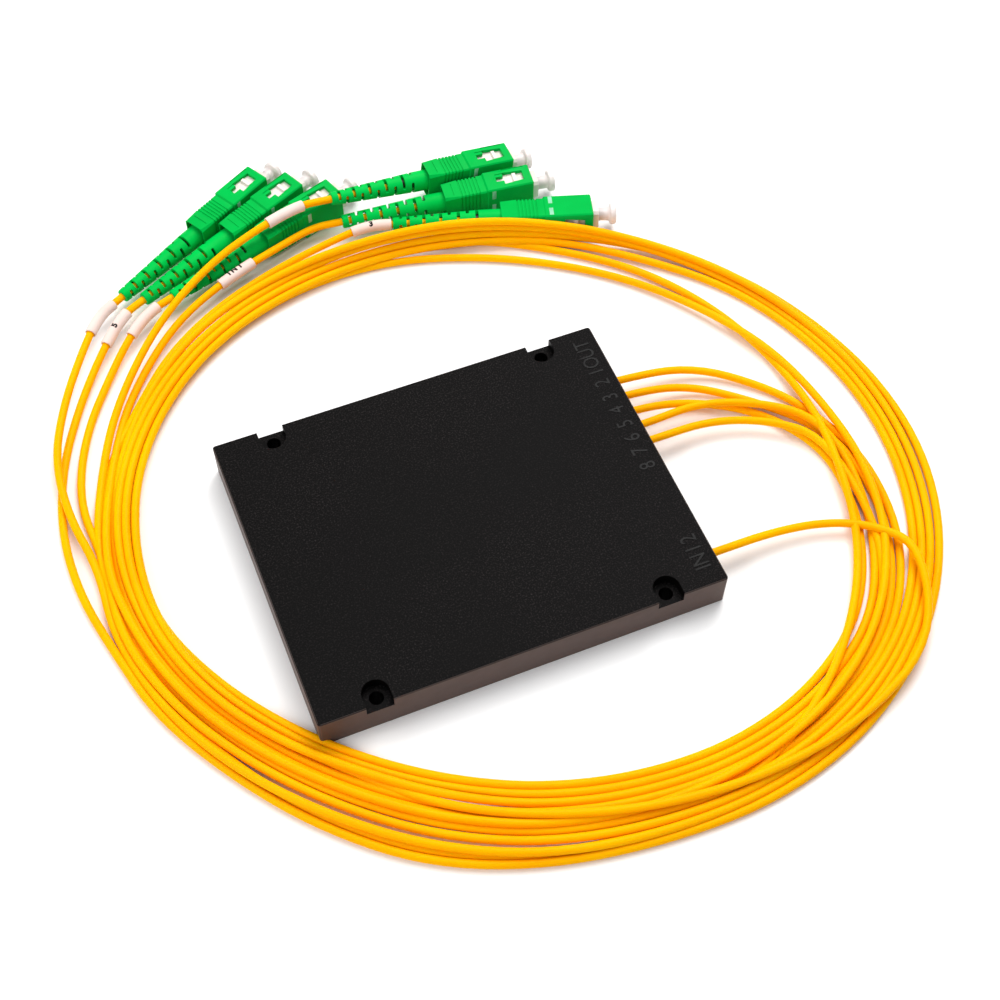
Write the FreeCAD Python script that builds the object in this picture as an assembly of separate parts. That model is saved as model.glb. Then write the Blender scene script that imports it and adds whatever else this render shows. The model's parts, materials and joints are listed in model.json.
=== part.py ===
import FreeCAD
import Part
import math
import os

from FreeCAD import Placement, Rotation, Vector

# Fibre splitter box with five output cords and one input cord, each ending in a capped square connector.
# Millimetres. Origin at the middle of the box's underside, +Z up, +X towards the side the cords leave.

# ---- box ----
box_length = 100.0
box_width = 80.0
box_height = 10.0
side_wall = 1.8
top_wall = 1.6
corner_round = 0.8
edge_bevel = 0.35
cover_thickness = 1.6
cover_seat = 0.9          # how far the cover reaches under the side walls
cover_gap = 0.1
rim_width = 1.2
rim_height = 1.8

# ---- fixing notches, one near each end of both long sides ----
mount_from_end = 14.5      # from the box's short side to a hole
mount_from_side = 3.0      # from its long side
mount_hole_radius = 1.7
notch_width = 6.5
notch_floor = 7.3
column_wall = 1.6

# ---- cord outlets in the +X side ----
outlet_pitch = 5.0
outlet_height = 5.0
outlet_gap = 0.15         # round a cord, in its outlet
first_output_y = 25.0
output_outlets = 8
input_from_side = 10.0    # from the box's long side to the first input
input_outlets = 2
comb_length = 7.9
comb_gap = 0.1
comb_margin = 1.4
cord_end_depth = 6.1      # how far a cord runs into the comb

# ---- splitter module and fibres inside the box ----
module_x = -27.0
module_y = 1.0
sleeve_length = 40.0
sleeve_side = 4.0
sleeve_wall = 0.3
chip_length = 13.0
chip_side = 2.0
input_block_length = 5.0
output_block_length = 8.0
plug_length = 4.0
plug_gap = 0.05
ribbon_thickness = 0.3
ribbon_width = 1.5
ribbon_gap = 0.1
fibre_tube_radius = 0.45
fibre_tube_gap = 0.05
fanout_length = 10.0
fanout_width = 8.4
fanout_height = 4.0
fanout_x = 8.0
fanout_y = 16.0
fanout_pitch = 1.5
pad_margin = 0.4
ribbon_turn = 3.2          # from the long side wall to the ribbon's turn
ribbon_level = 17.0        # how far the ribbon runs along that wall
ribbon_entry = 12.0        # its straight run into the fan-out block
tube_entry = 5.0           # straight run of a fibre tube at each end
input_tube_turn = 18.0     # from the module to where the input tube turns
input_tube_drop = 3.0

# ---- cords ----
cord_radius = 1.0
sleeve_radius = 1.5       # label sleeve on each cord
label_length = 11.0
cord_gap = 0.1
straight_out = 3.0        # how far a cord runs straight out of the box
coil_height = 5.0
coil_round = 1.0

# ---- square connector; its own frame has +X forward, +Z out of one latch window, +Y out of the key ----
grip_length = 24.8
frame_width = 5.6
frame_height = 6.9
waist_width = frame_width + 2 * 0.57
waist_height = frame_height + 2 * 0.6
grip_width = waist_width + 2 * 0.28
grip_height = waist_height + 2 * 0.45
grip_bevel = 0.35
front_start = 11.6
front_ramp = 0.4
mouth_chamfer = 0.3
collar_length = 4.2
collar_bevel = 0.7
collar_rear_width = waist_width - 0.24
collar_line_start = 2.45
collar_line_width = 0.2
collar_line_half_length = 2.2
collar_line_depth = 0.15
collar_wall = 0.3
collar_depth = 3.6
rib_count = 6
rib_first = 4.65          # the middle of the groove nearest the collar
rib_pitch = 1.0
rib_groove_width = 0.45
rib_groove_depth = 0.2
frame_gap = 0.05
frame_start = 2.0
frame_shoulder = 22.8
nose_end = 26.4
nose_height = frame_height - 0.9
nose_chamfer = 0.7
window_start = 17.1
window_end = 22.6
window_rear_half_width = 2.1
window_front_half_width = 1.6
window_tail_start = 15.0
window_tail_half_width = 0.8
groove_depth = 0.2
groove_width = 0.25
tail_groove = (15.0, 17.3, 1.8)    # start, end and place beside the latch window, towards the key
edge_groove = (17.2, 23.4, 3.1)
latch_start = 19.7
latch_end = 20.7
latch_half_width = 1.5
latch_top = frame_height / 2 + 0.75
key_length = 9.0
key_width = 3.2
key_rise = 0.85

chamber_radius = 2.2
chamber_end = 16.5
partition_end = 18.2
mouth_radius = 2.3
ferrule_radius = 1.25
ferrule_gap = 0.05
ferrule_start = 10.0
ferrule_end = 27.2
ferrule_chamfer = 0.3
ferrule_polish = 8.0      # degrees, the slant of the polished end
ferrule_polish_depth = 0.12
flange_radius = 2.1
flange_length = 2.6
flange_gap = 0.1
ferrule_travel = 1.0
spring_outer = 2.0
spring_inner = 1.5
spring_end_gap = 0.05
crimp_front = 7.0
crimp_rear = -7.0
crimp_spigot_start = 2.0
crimp_flange_start = 1.0
crimp_tube_end = 1.5
crimp_spigot_radius = 2.1
crimp_flange_radius = 2.6
crimp_tube_radius = 1.6
crimp_wall = 0.35
boot_front = 0.9
boot_collar_start = -4.8
boot_rear = -28.3
boot_collar_radius = 2.75
boot_tip_radius = 1.8
boot_gap = 0.05
boot_seat_depth = 0.4      # how deep the crimp's flange sits in the boot
slot_count = 10
slot_first = -5.5         # the middle of the slots nearest the grip
slot_pitch_front = 2.55
slot_pitch_rear = 2.05
slot_width = 0.8
slot_web = 1.05           # half the web that a pair of slots leaves standing
cap_start = 22.9
cap_end = 31.8
cap_stem_radius = 1.7
cap_flange_radius = 2.9
cap_flange_length = 1.2
cap_flare = 0.8
cap_flare_rise = 0.5
cap_bevel = 0.4
cap_bore_end = 28.0


def centred_box(length, width, height, x, y, z):
    """A box from x along +X, centred on y, standing on z."""
    return Part.makeBox(length, width, height, Vector(x, y - width / 2, z))


def cylinder(radius, start, end):
    """A round bar along the X axis."""
    return Part.makeCylinder(radius, end - start, Vector(start, 0, 0), Vector(1, 0, 0))


def cone(radius_start, radius_end, start, end):
    return Part.makeCone(radius_start, radius_end, end - start, Vector(start, 0, 0), Vector(1, 0, 0))


def edges_along(shape, direction):
    """The straight edges that run along a direction."""
    found = []
    for edge in shape.Edges:
        if isinstance(edge.Curve, Part.Line) and abs(edge.Curve.Direction.dot(direction)) > 0.999:
            found.append(edge)
    return found


def bevelled_outline(x, width, height, bevel):
    """A rectangle across the X axis with its four corners cut off."""
    y, z = width / 2, height / 2
    corners = [(y, z - bevel), (y - bevel, z), (bevel - y, z), (-y, z - bevel),
               (-y, bevel - z), (bevel - y, -z), (y - bevel, -z), (y, bevel - z)]
    points = [Vector(x, *corner) for corner in corners]
    return Part.makePolygon(points + points[:1])


def bevelled_bar(length, width, height, x, bevel):
    """A bar along X with its four long edges bevelled."""
    return Part.Face(bevelled_outline(x, width, height, bevel)).extrude(Vector(length, 0, 0))


# ---------------------------------------------------------------- box

def u_prism(width, side, outside, bottom, top, x):
    """A U-shaped prism, round at its inner end and open to one long side of the box."""
    radius = width / 2
    middle_y = side * mount_y()
    left_out, left_in = Vector(x - radius, side * outside, bottom), Vector(x - radius, middle_y, bottom)
    right_in, right_out = Vector(x + radius, middle_y, bottom), Vector(x + radius, side * outside, bottom)
    tip = Vector(x, middle_y - side * radius, bottom)
    outline = Part.Wire([
        Part.LineSegment(left_out, left_in).toShape(),
        Part.Arc(left_in, tip, right_in).toShape(),
        Part.LineSegment(right_in, right_out).toShape(),
        Part.LineSegment(right_out, left_out).toShape(),
    ])
    return Part.Face(outline).extrude(Vector(0, 0, top - bottom))


def mount_y():
    return box_width / 2 - mount_from_side


def mount_places():
    mount_x = box_length / 2 - mount_from_end
    return [(sx * mount_x, sy) for sx in (-1, 1) for sy in (-1, 1)]


def outlet_places():
    outputs = [first_output_y - outlet_pitch * i for i in range(output_outlets)]
    first_input_y = input_from_side - box_width / 2
    inputs = [first_input_y + outlet_pitch * i for i in range(input_outlets)]
    return outputs, inputs


def housing():
    body = centred_box(box_length, box_width, box_height, -box_length / 2, 0, 0)
    body = body.makeFillet(corner_round, edges_along(body, Vector(0, 0, 1)))
    rim = [e for e in body.Edges if abs(e.BoundBox.ZMin - box_height) < 1e-6]
    body = body.makeChamfer(edge_bevel, rim)
    inside = centred_box(box_length - 2 * side_wall, box_width - 2 * side_wall, box_height - top_wall,
                         -box_length / 2 + side_wall, 0, 0)
    seat = side_wall - cover_seat
    recess = centred_box(box_length - 2 * seat, box_width - 2 * seat, cover_thickness,
                         -box_length / 2 + seat, 0, 0)
    body = body.cut(inside).cut(recess)
    column_width = notch_width + 2 * column_wall
    for x, side in mount_places():
        column = u_prism(column_width, side, box_width / 2 - edge_bevel, 0, box_height - edge_bevel, x)
        body = body.fuse(column)
    for x, side in mount_places():
        body = body.cut(u_prism(notch_width, side, box_width / 2 + 1, notch_floor, box_height + 1, x))
        hole = Part.makeCylinder(mount_hole_radius, box_height, Vector(x, side * mount_y(), 0))
        body = body.cut(hole)
    outputs, inputs = outlet_places()
    for y in outputs + inputs:
        outlet = Part.makeCylinder(cord_radius + outlet_gap, 2 * side_wall,
                                   Vector(box_length / 2 - 1.5 * side_wall, y, outlet_height), Vector(1, 0, 0))
        body = body.cut(outlet)
    return body.removeSplitter()


def base_cover():
    seat = side_wall - cover_seat + cover_gap
    plate = centred_box(box_length - 2 * seat, box_width - 2 * seat, cover_thickness,
                        -box_length / 2 + seat, 0, 0)
    rim_inset = side_wall + cover_gap
    rim_outer = centred_box(box_length - 2 * rim_inset, box_width - 2 * rim_inset, rim_height,
                            -box_length / 2 + rim_inset, 0, cover_thickness)
    rim_inner = centred_box(box_length - 2 * (rim_inset + rim_width), box_width - 2 * (rim_inset + rim_width),
                            rim_height, -box_length / 2 + rim_inset + rim_width, 0, cover_thickness)
    rim = rim_outer.cut(rim_inner)
    comb_space = centred_box(box_length, box_width, rim_height, comb_start() - rim_width, 0, cover_thickness)
    cover = plate.fuse(rim.cut(comb_space))
    column_width = notch_width + 2 * column_wall + 2 * cover_gap
    for x, side in mount_places():
        cover = cover.cut(u_prism(column_width, side, box_width / 2 + 1, -1,
                                  cover_thickness + rim_height + 1, x))
    return cover.removeSplitter()


def comb_start():
    return box_length / 2 - side_wall - comb_gap - comb_length


def cord_comb():
    """The bar behind the outlets that the cord ends are bonded into."""
    outputs, inputs = outlet_places()
    margin = cord_radius + outlet_gap + comb_margin
    low = min(inputs[:used_inputs]) - margin
    high = max(outputs) + margin
    bottom = cover_thickness + comb_gap
    height = box_height - top_wall - comb_gap - bottom
    comb = Part.makeBox(comb_length, high - low, height, Vector(comb_start(), low, bottom))
    for y in outputs[:used_outputs] + inputs[:used_inputs]:
        start = Vector(cord_end_x(), y, outlet_height)
        seat = Part.makeCylinder(cord_radius + cord_gap, comb_length, start, Vector(1, 0, 0))
        bore = Part.makeCylinder(fibre_tube_radius + fibre_tube_gap, 2 * comb_length,
                                 Vector(comb_start() - comb_length, y, outlet_height), Vector(1, 0, 0))
        comb = comb.cut(seat).cut(bore)
    return comb


def cord_end_x():
    return box_length / 2 - side_wall - cord_end_depth


# ---------------------------------------------------------------- splitter module, standing in line with Y

def module_bar(section_x, section_z, start, end, z_low=None):
    """A bar of the splitter module between two distances from the module's middle."""
    low = outlet_height - section_z / 2 if z_low is None else z_low
    return Part.makeBox(section_x, end - start, section_z,
                        Vector(module_x - section_x / 2, module_y + start, low))


def optics_stations():
    """Where the input block, chip and output block begin and end, along the module."""
    total = input_block_length + chip_length + output_block_length
    first = -total / 2
    second = first + input_block_length
    third = second + chip_length
    return first, second, third, third + output_block_length


def sleeve_floor():
    return outlet_height - chip_side / 2 - sleeve_wall


def splitter_sleeve():
    half = sleeve_length / 2
    outside = module_bar(sleeve_side, sleeve_side, -half, half, sleeve_floor())
    bore = sleeve_side - 2 * sleeve_wall
    return outside.cut(module_bar(bore, bore, -half - 1, half + 1, sleeve_floor() + sleeve_wall))


def sleeve_end_plugs():
    half = sleeve_length / 2
    side = sleeve_side - 2 * sleeve_wall - 2 * plug_gap
    low = sleeve_floor() + sleeve_wall + plug_gap
    input_plug = module_bar(side, side, -half, -half + plug_length, low)
    output_plug = module_bar(side, side, half - plug_length, half, low)
    hole = Part.makeCylinder(fibre_tube_radius + fibre_tube_gap, sleeve_length,
                             Vector(module_x, module_y - sleeve_length, outlet_height), Vector(0, 1, 0))
    slot = module_bar(ribbon_thickness + 2 * ribbon_gap, ribbon_width + 2 * ribbon_gap, 0, sleeve_length)
    return Part.makeCompound([input_plug.cut(hole), output_plug.cut(slot)])


def adhesive_pads():
    under_sleeve = module_bar(sleeve_side, sleeve_floor() - cover_thickness,
                              -sleeve_length / 2 + pad_margin, sleeve_length / 2 - pad_margin, cover_thickness)
    height = outlet_height - fanout_height / 2 - cover_thickness
    under_fanout = centred_box(fanout_length - 2 * pad_margin, fanout_width - 2 * pad_margin, height,
                               fanout_x + pad_margin, fanout_y, cover_thickness)
    return Part.makeCompound([under_sleeve, under_fanout])


def fanout_offsets():
    middle = (used_outputs - 1) / 2
    return [fanout_pitch * (middle - i) for i in range(used_outputs)]


def fanout_block():
    low = outlet_height - fanout_height / 2
    block = centred_box(fanout_length, fanout_width, fanout_height, fanout_x, fanout_y, low)
    slot = centred_box(fanout_length / 2, ribbon_thickness + 2 * ribbon_gap, ribbon_width + 2 * ribbon_gap,
                       fanout_x, fanout_y, outlet_height - ribbon_width / 2 - ribbon_gap)
    block = block.cut(slot)
    for offset in fanout_offsets():
        hole = Part.makeCylinder(fibre_tube_radius + fibre_tube_gap, fanout_length / 2,
                                 Vector(fanout_x + fanout_length / 2, fanout_y + offset, outlet_height),
                                 Vector(1, 0, 0))
        block = block.cut(hole)
    return block


# ---------------------------------------------------------------- routes

def route_edges(points, radii=None):
    """Straight runs joined by tangent arcs, each arc as large as its two runs allow."""
    corners = [Vector(*p) for p in points]
    edges = []
    here = corners[0]
    for before, corner, after in zip(corners, corners[1:], corners[2:]):
        arriving = corner - before
        leaving = after - corner
        turn = arriving.getAngle(leaving)
        trim = 0.45 * min(arriving.Length, leaving.Length)
        radius = trim / math.tan(turn / 2)
        if radii is not None:
            radii.append(radius)
        start = corner - arriving.normalize() * trim
        end = corner + leaving.normalize() * trim
        inward = (leaving - arriving).normalize()
        middle = corner + inward * (radius / math.cos(turn / 2) - radius)
        edges.append(Part.LineSegment(here, start).toShape())
        edges.append(Part.Arc(start, middle, end).toShape())
        here = end
    edges.append(Part.LineSegment(here, corners[-1]).toShape())
    return edges


def stretch_of(edges, start, end):
    """The part of a route between two distances along it."""
    kept = []
    passed = 0.0
    for edge in edges:
        low = max(start - passed, 0.0)
        high = min(end - passed, edge.Length)
        passed += edge.Length
        if high - low < 1e-6:
            continue
        lengths = (low, (low + high) / 2, high)
        first, middle, last = (edge.valueAt(edge.getParameterByLength(s)) for s in lengths)
        if isinstance(edge.Curve, Part.Line):
            kept.append(Part.LineSegment(first, last).toShape())
        else:
            kept.append(Part.Arc(first, middle, last).toShape())
    return kept


def round_tube(edges, radius):
    path = Part.Wire(edges)
    start = edges[0].valueAt(edges[0].FirstParameter)
    direction = edges[0].tangentAt(edges[0].FirstParameter)
    profile = Part.Wire([Part.Circle(start, direction, radius).toShape()])
    return path.makePipeShell([profile], True, True)


def ribbon_route():
    first, second, third, last = optics_stations()
    turn_y = box_width / 2 - side_wall - ribbon_turn
    return [(module_x, module_y + last, outlet_height), (module_x, turn_y, outlet_height),
            (module_x + ribbon_level, turn_y, outlet_height),
            (fanout_x - ribbon_entry, fanout_y, outlet_height),
            (fanout_x + fanout_length / 2, fanout_y, outlet_height)]


def output_ribbon():
    edges = route_edges(ribbon_route())
    start = edges[0].valueAt(edges[0].FirstParameter)
    half_t = ribbon_thickness / 2
    half_w = ribbon_width / 2
    section = ((-half_t, -half_w), (half_t, -half_w), (half_t, half_w), (-half_t, half_w))
    corners = [start + Vector(x, 0, z) for x, z in section]
    return Part.Wire(edges).makePipeShell([Part.makePolygon(corners + corners[:1])], True, False)


def input_tube():
    y = outlet_places()[1][0]
    entry = module_y - (input_block_length + chip_length + output_block_length) / 2
    points = [(cord_end_x(), y, outlet_height), (module_x + input_tube_turn, y, outlet_height),
              (module_x, y + input_tube_drop, outlet_height), (module_x, entry, outlet_height)]
    return round_tube(route_edges(points), fibre_tube_radius)


def output_tubes():
    tubes = []
    outputs = outlet_places()[0]
    for offset, y in zip(fanout_offsets(), outputs):
        start_y = fanout_y + offset
        points = [(fanout_x + fanout_length / 2, start_y, outlet_height),
                  (fanout_x + fanout_length + tube_entry, start_y, outlet_height),
                  (comb_start() - tube_entry, y, outlet_height), (cord_end_x(), y, outlet_height)]
        tubes.append(round_tube(route_edges(points), fibre_tube_radius))
    return Part.makeCompound(tubes)


# ---------------------------------------------------------------- connector, in its own frame

def prism_through(points, height):
    """A prism along Z, centred on the axis, from an outline of (x, y) points."""
    corners = [Vector(x, y, -height / 2) for x, y in points]
    return Part.Face(Part.makePolygon(corners + corners[:1])).extrude(Vector(0, 0, height))


def latch_window():
    side = [(window_tail_start, window_tail_half_width), (window_start, window_tail_half_width),
            (window_start, window_rear_half_width), (window_end, window_front_half_width)]
    return side + [(x, -y) for x, y in reversed(side)]


def grip():
    front = bevelled_bar(grip_length - front_start, grip_width, grip_height, front_start, grip_bevel)
    rear_edges = [e for e in front.Edges if abs(e.BoundBox.XMax - front_start) < 1e-6]
    front = front.makeChamfer(front_ramp, rear_edges)
    mouth_edges = [e for e in front.Edges if abs(e.BoundBox.XMin - grip_length) < 1e-6]
    front = front.makeChamfer(mouth_chamfer, mouth_edges)
    waist = bevelled_bar(front_start + front_ramp - collar_length, waist_width, waist_height, collar_length,
                         grip_bevel)
    for i in range(rib_count):
        start = rib_first + rib_pitch * i - rib_groove_width / 2
        ring = bevelled_bar(rib_groove_width, grip_width, grip_height, start, grip_bevel)
        core = bevelled_bar(rib_groove_width, waist_width - 2 * rib_groove_depth,
                            waist_height - 2 * rib_groove_depth, start, grip_bevel)
        waist = waist.cut(ring.cut(core))
    rear = bevelled_outline(0, collar_rear_width, waist_height, collar_bevel)
    foot = bevelled_outline(collar_length, waist_width, waist_height, grip_bevel)
    collar = Part.makeLoft([rear, foot], True, True)
    shell = front.fuse(waist).fuse(collar)
    key = Part.makeBox(key_length, grip_width / 2 + key_rise, key_width,
                       Vector(grip_length - key_length, 0, -key_width / 2))
    shell = shell.fuse(key)
    bore_width = frame_width + 2 * frame_gap
    bore_height = frame_height + 2 * frame_gap
    bore_start = frame_start - frame_gap
    shell = shell.cut(centred_box(grip_length, bore_width, bore_height, bore_start, 0, -bore_height / 2))
    mouth_width = collar_rear_width - 2 * collar_wall
    mouth_height = waist_height - 2 * collar_wall
    mouth = [bevelled_outline(x, mouth_width, mouth_height, collar_bevel) for x in (-1, collar_depth)]
    shell = shell.cut(Part.makeLoft(mouth, True, True))
    for face in (-1, 1):
        for start, end, place in (tail_groove, edge_groove):
            shell = shell.cut(centred_box(end - start, groove_width, 2 * groove_depth, start, place,
                                          face * grip_height / 2 - groove_depth))
        shell = shell.cut(centred_box(collar_line_width, 2 * collar_line_half_length, 2 * collar_line_depth,
                                      collar_line_start, 0, face * waist_height / 2 - collar_line_depth))
    return shell.cut(prism_through(latch_window(), grip_height + 2)).removeSplitter()


def plug_frame():
    body = centred_box(frame_shoulder - frame_start, frame_width, frame_height,
                       frame_start, 0, -frame_height / 2)
    nose = centred_box(nose_end - frame_shoulder, frame_width, nose_height,
                       frame_shoulder, 0, -nose_height / 2)
    nose = nose.makeChamfer(nose_chamfer, edges_along(nose, Vector(1, 0, 0)))
    latch = centred_box(latch_end - latch_start, 2 * latch_half_width, 2 * latch_top,
                        latch_start, 0, -latch_top)
    body = body.fuse(nose).fuse(latch)
    body = body.cut(cylinder(chamber_radius, frame_start - 1, chamber_end))
    body = body.cut(cylinder(ferrule_radius + ferrule_gap, chamber_end - 1, partition_end + 1))
    body = body.cut(cylinder(mouth_radius, partition_end, nose_end + 1))
    return body.removeSplitter()


def ferrule():
    bar = cylinder(ferrule_radius, ferrule_start, ferrule_end)
    circles = [e for e in bar.Edges if isinstance(e.Curve, Part.Circle)]
    tip = [e for e in circles if abs(e.BoundBox.XMin - ferrule_end) < 1e-6]
    bar = bar.makeChamfer(ferrule_chamfer, tip)
    polish = Part.makeBox(4, 8, 8, Vector(0, -4, -4))
    slant = Rotation(Vector(0, 1, 0), ferrule_polish)
    polish.Placement = Placement(Vector(ferrule_end - ferrule_polish_depth, 0, 0), slant)
    flange = cylinder(flange_radius, flange_start(), flange_start() + flange_length)
    return bar.cut(polish).fuse(flange).removeSplitter()


def flange_start():
    return chamber_end - flange_gap - flange_length


def ferrule_spring():
    """The coil spring, as the sleeve that its turns fill when the ferrule is pushed right back."""
    end = flange_start() - ferrule_travel - spring_end_gap
    return cylinder(spring_outer, crimp_front, end).cut(cylinder(spring_inner, crimp_front, end))


def crimp_body():
    body = cylinder(crimp_spigot_radius, crimp_spigot_start, crimp_front)
    body = body.fuse(cylinder(crimp_flange_radius, crimp_flange_start, frame_start))
    body = body.fuse(cylinder(crimp_tube_radius, crimp_rear, crimp_tube_end))
    bore = cylinder(crimp_tube_radius - crimp_wall, crimp_rear - 1, crimp_front + 1)
    return body.cut(bore).removeSplitter()


def boot():
    body = cylinder(boot_collar_radius, boot_collar_start, boot_front)
    body = body.fuse(cone(boot_tip_radius, boot_collar_radius, boot_rear, boot_collar_start))
    body = body.cut(cylinder(crimp_tube_radius + boot_gap, crimp_rear - boot_gap, boot_front + 1))
    body = body.cut(cylinder(cord_radius + cord_gap, boot_rear - 1, crimp_rear))
    body = body.cut(cylinder(crimp_flange_radius + boot_gap, boot_front - boot_seat_depth, boot_front + 1))
    reach = 2 * boot_collar_radius
    closing = (slot_pitch_front - slot_pitch_rear) / (slot_count - 2)
    middle = slot_first
    for i in range(slot_count):
        x = middle - slot_width / 2
        middle -= slot_pitch_front - closing * i
        for side in (-1, 1):
            low = slot_web if side > 0 else -slot_web - reach
            if i % 2:
                cutter = Part.makeBox(slot_width, 2 * reach, reach, Vector(x, -reach, low))
            else:
                cutter = Part.makeBox(slot_width, reach, 2 * reach, Vector(x, low, -reach))
            body = body.cut(cutter)
    return body.removeSplitter()


def dust_cap():
    flange_start_x = cap_end - cap_flange_length
    cap = cylinder(cap_stem_radius, cap_start, flange_start_x - cap_flare)
    flare = cone(cap_stem_radius, cap_stem_radius + cap_flare_rise, flange_start_x - cap_flare, flange_start_x)
    cap = cap.fuse(flare)
    cap = cap.fuse(cylinder(cap_flange_radius, flange_start_x, cap_end))
    circles = [e for e in cap.Edges if isinstance(e.Curve, Part.Circle)]
    wide = [e for e in circles if abs(e.Curve.Radius - cap_flange_radius) < 1e-6]
    rim = [e for e in wide if e.BoundBox.XMin > cap_end - 0.01]
    cap = cap.makeChamfer(cap_bevel, rim)
    return cap.cut(cylinder(ferrule_radius + ferrule_gap, cap_start - 1, cap_bore_end)).removeSplitter()


# ---------------------------------------------------------------- where the connectors lie and how the cords run

def rest_height(roll):
    """How high a rolled connector's axis lies when its section touches the floor."""
    outline = [(grip_width / 2 + key_rise, side * key_width / 2) for side in (-1, 1)]
    for sy in (-1, 1):
        for sz in (-1, 1):
            outline.append((sy * (grip_width / 2 - grip_bevel), sz * grip_height / 2))
            outline.append((sy * grip_width / 2, sz * (grip_height / 2 - grip_bevel)))
    turn = math.radians(roll)
    return max(-(y * math.sin(turn) + z * math.cos(turn)) for y, z in outline)


class Connector:
    """A connector's place: the middle of its grip's back end, its heading, its nose-down tilt and its roll."""

    def __init__(self, x, y, heading, tilt=0.0, roll=0.0, boot_turn=0.0):
        self.boot_turn = Placement(Vector(0, 0, 0), Rotation(Vector(1, 0, 0), boot_turn))
        rest = rest_height(roll)
        lift = rest * math.cos(math.radians(tilt)) + grip_length * math.sin(math.radians(tilt))
        turn = Rotation(Vector(0, 0, 1), heading).multiply(Rotation(Vector(0, 1, 0), tilt))
        turn = turn.multiply(Rotation(Vector(1, 0, 0), roll))
        self.placement = Placement(Vector(x, y, lift), turn)

    def place(self, shape):
        moved = shape.copy()
        moved.Placement = self.placement.multiply(shape.Placement)
        return moved

    def point(self, distance):
        """A point on the connector's axis, ahead of the grip's back end."""
        p = self.placement.multVec(Vector(distance, 0, 0))
        return (p.x, p.y, p.z)


used_outputs = 5
used_inputs = 1

connectors = {
    "out_1": Connector(-33.7, 112.0, 29.2, boot_turn=120),
    "out_2": Connector(-17.7, 103.2, 19.2, boot_turn=72),
    "out_3": Connector(44.8, 86.8, -18.0, roll=-100, boot_turn=33),
    "out_4": Connector(29.9, 105.6, 0.4, tilt=6.8, boot_turn=20),
    "out_5": Connector(-26.0, 107.8, 24.7, boot_turn=2),
    "in_1": Connector(32.6, 98.7, -6.8, boot_turn=43),
}

# From the straight run outside the box to the edge of the coil.
exit_routes = {
    "out_1": [(72.5, 23.6, 2.2), (88, 10.8, 1.0), (95.4, -1.4, 1.0)],
    "out_2": [(68.4, 18.8, 2.0), (81.2, 9.6, 1.0), (93, -2.6, 1.0)],
    "out_3": [(66.6, 14.2, 1.6), (80.4, 6.6, 1.0), (89.6, -5.6, 1.0), (92.6, -18, 1.0)],
    "out_4": [(68, 11.4, 4.0), (82, 6.6, 3.3), (93.4, -2.4, 3.3)],
    "out_5": [(68.4, 5.6, 3.7), (82.6, 0.4, 3.2), (93.2, -9.6, 3.2)],
    "in_1": [(68, -29.6, 3.8), (81, -31.4, 3.1), (91.4, -36.4, 3.0)],
}

# From the edge of the coil to the bend behind the connector's boot.
lead_routes = {
    "out_1": [(-84.4, 22, 1.4), (-87.4, 38, 2.6), (-86.6, 55, 3.4), (-80.4, 70.6, 3.6), (-72.6, 84, 4.0)],
    "out_2": [(-82.6, 24, 1.0), (-84.4, 42, 1.0), (-77.8, 61.4, 1.0), (-66.6, 77.6, 1.6), (-58.6, 86.4, 3.6)],
    "out_3": [(-61.2, 67.2, 1.0), (-51.2, 78.4, 1.0), (-35.2, 88.8, 1.0), (-17.6, 95.2, 1.2), (-2.2, 97.4, 3.0)],
    "out_4": [(-74.6, 54, 2.2), (-65, 70, 3.8), (-50.6, 86.4, 5.8), (-33.6, 97, 9.0), (-18.6, 102, 11.2)],
    "out_5": [(-86.6, -1, 1.0), (-90.4, 17, 1.0), (-90.2, 36, 1.0), (-85.2, 54.4, 1.0), (-76.4, 71.4, 1.2),
              (-66.6, 84.6, 3.2)],
    "in_1": [(-70.6, 58, 1.0), (-60.6, 73, 1.4), (-46.4, 86.6, 3.2), (-29.6, 94.5, 4.7), (-12.4, 99.8, 5.2)],
}
behind_boot = 8.0         # the straight piece that a boot holds behind itself
label_from_boot = {"out_1": 3.2, "out_2": 6.2, "out_3": 0.7, "out_4": 7.2, "out_5": 7.2, "in_1": 28.2}

# The coil: its inner and outer edge at every 15 degrees, clockwise from +X, on an oval about its middle.
coil_middle = (11.6, 2.4)
coil_stretch = 1.10
coil_edges = [
    (74.0, 94.0), (75.2, 96.4), (78.0, 98.8), (80.6, 99.8), (80.8, 98.8), (77.8, 96.6),
    (74.4, 92.8), (71.2, 90.2), (69.9, 88.8), (71.2, 87.2), (72.8, 86.4), (75.0, 88.2),
    (77.6, 89.6), (80.0, 90.2), (81.6, 91.2), (83.4, 92.6), (84.6, 93.6), (83.4, 93.2),
    (80.0, 89.8), (75.2, 84.2), (74.0, 84.4), (73.2, 88.4), (73.0, 91.2), (73.6, 92.4),
]


def coil_point(station, radius, z):
    angle = math.radians(360.0 * station / len(coil_edges))
    return Vector(coil_middle[0] + coil_stretch * radius * math.cos(angle),
                  coil_middle[1] - radius * math.sin(angle), z)


def coil_slab(column, easing):
    """What lies inside one edge of the coil; near its top the edge eases inwards or outwards."""
    outlines = []
    for z, shift in ((0, 0), (coil_height - coil_round, 0), (coil_height, easing)):
        curve = Part.BSplineCurve()
        points = [coil_point(i, row[column] + shift, z) for i, row in enumerate(coil_edges)]
        curve.interpolate(points, PeriodicFlag=True)
        outlines.append(Part.Wire([curve.toShape()]))
    return Part.makeLoft(outlines, True, True)


def cord_coil():
    return coil_slab(1, -coil_round).cut(coil_slab(0, coil_round))


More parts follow.
